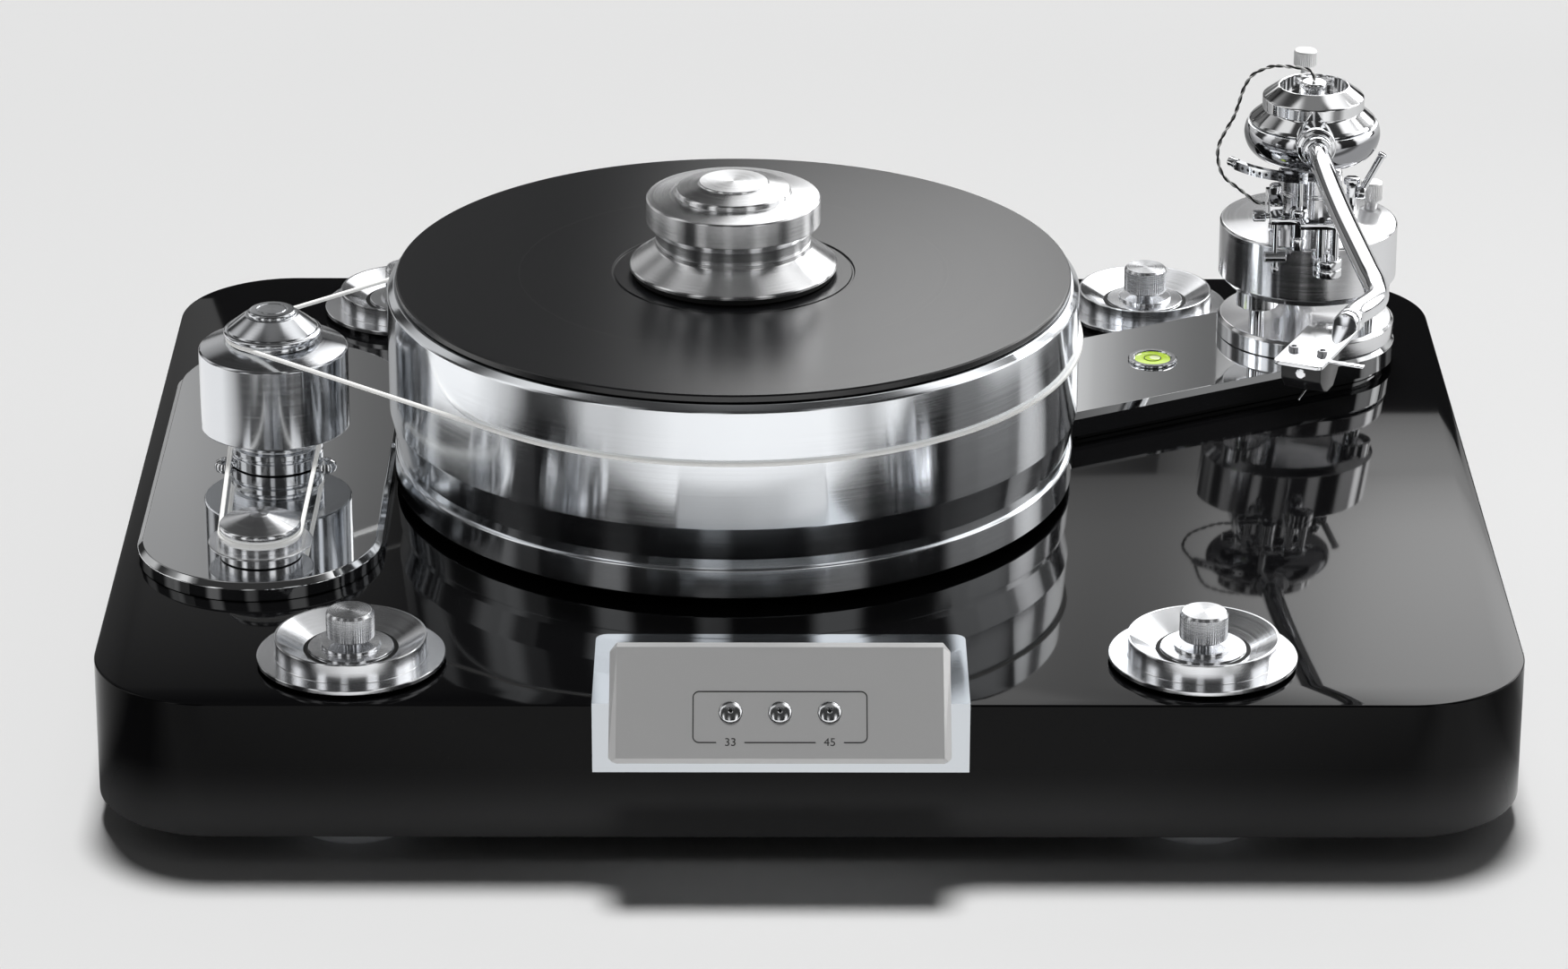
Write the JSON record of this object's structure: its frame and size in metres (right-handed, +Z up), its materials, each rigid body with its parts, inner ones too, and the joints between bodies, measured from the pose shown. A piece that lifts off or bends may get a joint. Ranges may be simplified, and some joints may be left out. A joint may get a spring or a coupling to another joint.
{
  "type": "belt-drive turntable",
  "caption": "Record player with a lacquered plinth on levelling isolators, a tall belt-driven aluminium platter with flywheel, a record clamp, a slanted control panel and a curved tonearm.",
  "frame": {"origin": "on the floor below the middle of the turntable's bounding box", "axes": "+Z up, +X to the right seen from the front, +Y to the rear; the control panel faces -Y"},
  "size_m": [0.602, 0.5264, 0.2185],
  "materials": {
    "black_lacquer": "piano gloss",
    "black_plate": "gloss",
    "polished_aluminium": "polished",
    "brushed_aluminium": "brushed",
    "chrome": "mirror",
    "dark_steel": "satin",
    "black_mat": "satin",
    "black_plastic": "semi-gloss",
    "black_rubber": "matt",
    "grey_rubber": "matt",
    "pale_belt": "satin",
    "level_fluid": "clear",
    "circuit_board": "matt",
    "wire_jacket": "satin"
  },
  "bodies": {
    "chassis": {"plinth_body": "black_lacquer", "base_cover": "dark_steel", "foot_front_left": "grey_rubber", "foot_front_right": "grey_rubber", "foot_rear_left": "grey_rubber", "foot_rear_right": "grey_rubber", "isolator_cup_front_left": "polished_aluminium", "isolator_cup_front_right": "polished_aluminium", "isolator_cup_rear_left": "polished_aluminium", "isolator_cup_rear_right": "polished_aluminium", "control_bracket": "chrome", "control_housing": "brushed_aluminium", "drive_module": "circuit_board", "rear_socket": "black_plastic", "motor_plate": "black_plate", "motor_body": "dark_steel", "flywheel_pin": "dark_steel", "bearing_housing": "dark_steel", "arm_board": "black_plate", "level_ring": "chrome", "level_vial": "level_fluid", "arm_base_disc": "chrome", "guide_pin_left": "chrome", "guide_pin_right": "chrome", "guide_pin_rear": "chrome", "long_belt": "pale_belt", "short_belt": "pale_belt"},
    "knob_front_left": {"level_knob_front_left": "brushed_aluminium"},
    "knob_front_right": {"level_knob_front_right": "brushed_aluminium"},
    "knob_rear_left": {"level_knob_rear_left": "brushed_aluminium"},
    "knob_rear_right": {"level_knob_rear_right": "brushed_aluminium"},
    "key_33": {"button_33": "chrome"},
    "key_stop": {"button_stop": "chrome"},
    "key_45": {"button_45": "chrome"},
    "turning_platter": {"spindle": "chrome", "platter": "polished_aluminium", "platter_mat": "black_mat"},
    "record_clamp": {"clamp_body": "polished_aluminium", "clamp_pad": "black_rubber"},
    "turning_flywheel": {"flywheel": "chrome", "flywheel_pulley": "chrome"},
    "turning_motor": {"motor_pulley": "polished_aluminium"},
    "tower": {"arm_tower": "chrome", "arm_pillar": "chrome", "lift_bracket": "chrome", "lever_pillar": "chrome", "arm_wire": "wire_jacket"},
    "tower_lock": {"tower_knob": "brushed_aluminium"},
    "arm_head": {"arm_yoke": "dark_steel"},
    "arm": {"arm_bowl": "chrome", "arm_dome": "chrome", "arm_tube": "chrome", "headshell": "chrome", "cartridge": "black_plastic", "stylus": "chrome"},
    "balance_weight": {"counterweight": "dark_steel"},
    "balance_lock": {"weight_screw": "brushed_aluminium"},
    "cue_bar": {"lift_bar": "chrome"},
    "cue_handle": {"cue_lever": "chrome"},
    "antiskate": {"skate_weight": "brushed_aluminium"}
  },
  "joints": [
    {"name": "platter_spin", "type": "hinge", "parent": "chassis", "child": "turning_platter", "pos_m": [-0.033, 0.01052, 0.1], "axis": [0, 0, -1], "continuous": true},
    {"name": "flywheel_spin", "type": "hinge", "parent": "chassis", "child": "turning_flywheel", "pos_m": [-0.239, 0.00632, 0.1], "axis": [0, 0, -1], "continuous": true},
    {"name": "motor_spin", "type": "hinge", "parent": "chassis", "child": "turning_motor", "pos_m": [-0.2375, -0.10147, 0.08], "axis": [0, 0, -1], "continuous": true},
    {"name": "clamp_lift", "type": "slide", "parent": "turning_platter", "child": "record_clamp", "axis": [0, 0, 1], "range_m": [0, 0.025]},
    {"name": "level_front_left", "type": "hinge", "parent": "chassis", "child": "knob_front_left", "pos_m": [-0.1923, -0.19548, 0.09], "axis": [0, 0, 1], "range_deg": [-180, 180]},
    {"name": "level_front_right", "type": "hinge", "parent": "chassis", "child": "knob_front_right", "pos_m": [0.165, -0.19548, 0.09], "axis": [0, 0, 1], "range_deg": [-180, 180]},
    {"name": "level_rear_left", "type": "hinge", "parent": "chassis", "child": "knob_rear_left", "pos_m": [-0.1923, 0.21552, 0.09], "axis": [0, 0, 1], "range_deg": [-180, 180]},
    {"name": "level_rear_right", "type": "hinge", "parent": "chassis", "child": "knob_rear_right", "pos_m": [0.165, 0.21552, 0.09], "axis": [0, 0, 1], "range_deg": [-180, 180]},
    {"name": "press_33", "type": "slide", "parent": "chassis", "child": "key_33", "axis": [0, 0.6691, -0.7431], "range_m": [0, 0.0012], "stiffness_N_per_m": 400, "springref_m": -0.0005},
    {"name": "press_stop", "type": "slide", "parent": "chassis", "child": "key_stop", "axis": [0, 0.6691, -0.7431], "range_m": [0, 0.0012], "stiffness_N_per_m": 400, "springref_m": -0.0005},
    {"name": "press_45", "type": "slide", "parent": "chassis", "child": "key_45", "axis": [0, 0.6691, -0.7431], "range_m": [0, 0.0012], "stiffness_N_per_m": 400, "springref_m": -0.0005},
    {"name": "arm_height", "type": "slide", "parent": "chassis", "child": "tower", "axis": [0, 0, 1], "range_m": [-0.002, 0.006]},
    {"name": "tower_lock_turn", "type": "hinge", "parent": "tower", "child": "tower_lock", "pos_m": [0.2681, 0.17392, 0.15], "axis": [0, 0, 1], "range_deg": [-180, 180]},
    {"name": "arm_swing", "type": "hinge", "parent": "tower", "child": "arm_head", "pos_m": [0.2369, 0.15413, 0.18], "axis": [0, 0, -1], "range_deg": [-3, 45]},
    {"name": "arm_tilt", "type": "hinge", "parent": "arm_head", "child": "arm", "pos_m": [0.2369, 0.15413, 0.1865], "axis": [-1, 0, 0], "range_deg": [0, 1.5]},
    {"name": "cue_lift", "type": "slide", "parent": "tower", "child": "cue_bar", "axis": [0, 0, 1], "range_m": [0, 0.0053]},
    {"name": "cue_turn", "type": "hinge", "parent": "tower", "child": "cue_handle", "pos_m": [0.26, 0.14793, 0.1595], "axis": [1, 0, 0], "range_deg": [0, 61]},
    {"name": "balance_slide", "type": "slide", "parent": "arm", "child": "balance_weight", "axis": [0, 1, 0], "range_m": [-0.003, 0.005]},
    {"name": "balance_lock_turn", "type": "hinge", "parent": "balance_weight", "child": "balance_lock", "pos_m": [0.2369, 0.20053, 0.2], "axis": [0, 0, 1], "range_deg": [-180, 180]},
    {"name": "antiskate_slide", "type": "slide", "parent": "tower", "child": "antiskate", "axis": [0, 0, 1], "range_m": [-0.001, 0.012]}
  ],
  "couplings": [
    {"joint": "flywheel_spin", "follows": "platter_spin", "ratio": 7.3146},
    {"joint": "motor_spin", "follows": "platter_spin", "ratio": 8.3419},
    {"joint": "cue_lift", "follows": "arm_tilt", "m_per_rad": 0.2},
    {"joint": "cue_turn", "follows": "arm_tilt", "ratio": 40}
  ]
}
